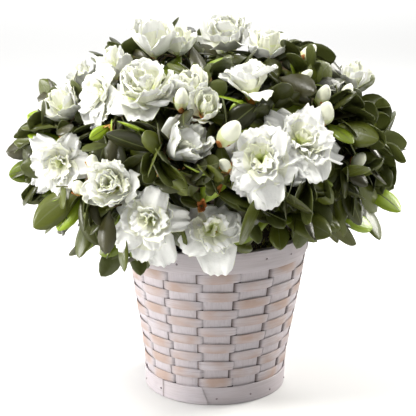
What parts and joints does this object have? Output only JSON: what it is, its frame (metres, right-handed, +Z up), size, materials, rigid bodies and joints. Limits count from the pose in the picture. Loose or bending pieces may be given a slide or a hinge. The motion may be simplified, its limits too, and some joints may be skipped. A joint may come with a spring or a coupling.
{
  "type": "potted azalea shrub",
  "caption": "Compact azalea shrub with double white blooms, buds and dark glossy leaves, growing in a round tapered basket woven from pale chipwood splints.",
  "frame": {"origin": "on the surface that the basket stands on, under the middle of its foot", "axes": "+Z up, -Y towards the front in the picture, +X to the right"},
  "size_m": [0.3836, 0.3531, 0.3657],
  "materials": {
    "splint": "whitewashed chipwood, worn to tan on the raised weaves",
    "band": "whitewashed wooden hoop, matt",
    "soil": "dark moist peat with some moss",
    "bark": "rough grey-brown bark",
    "foliage": "glossy dark green leaves, white petals and orange-brown bud scales"
  },
  "bodies": {
    "root": {"basket_weave": "splint", "rim_band_outer": "band", "rim_band_inner": "band", "foot_band": "band", "base_board": "splint", "soil": "soil", "trunk": "bark", "bough_front_low": "bark", "bough_front_mid": "bark", "bough_front_left": "bark", "bough_upper_left": "bark", "bough_front_right": "bark", "bough_low_right": "bark", "bough_right": "bark", "bough_upper_right": "bark", "bough_side_right": "bark", "bough_back_right": "bark", "bough_back_left": "bark", "bough_side_left": "bark", "bough_high_right": "bark", "bough_high_back": "bark", "bough_high_left": "bark", "foliage_front_low": "foliage", "foliage_front_mid": "foliage", "foliage_front_left": "foliage", "foliage_upper_left": "foliage", "foliage_front_right": "foliage", "foliage_low_right": "foliage", "foliage_right": "foliage", "foliage_upper_right": "foliage", "foliage_side_right": "foliage", "foliage_back_right": "foliage", "foliage_back_left": "foliage", "foliage_side_left": "foliage", "foliage_high_right": "foliage", "foliage_high_back": "foliage", "foliage_high_left": "foliage", "foliage_top": "foliage"}
  },
  "joints": []
}
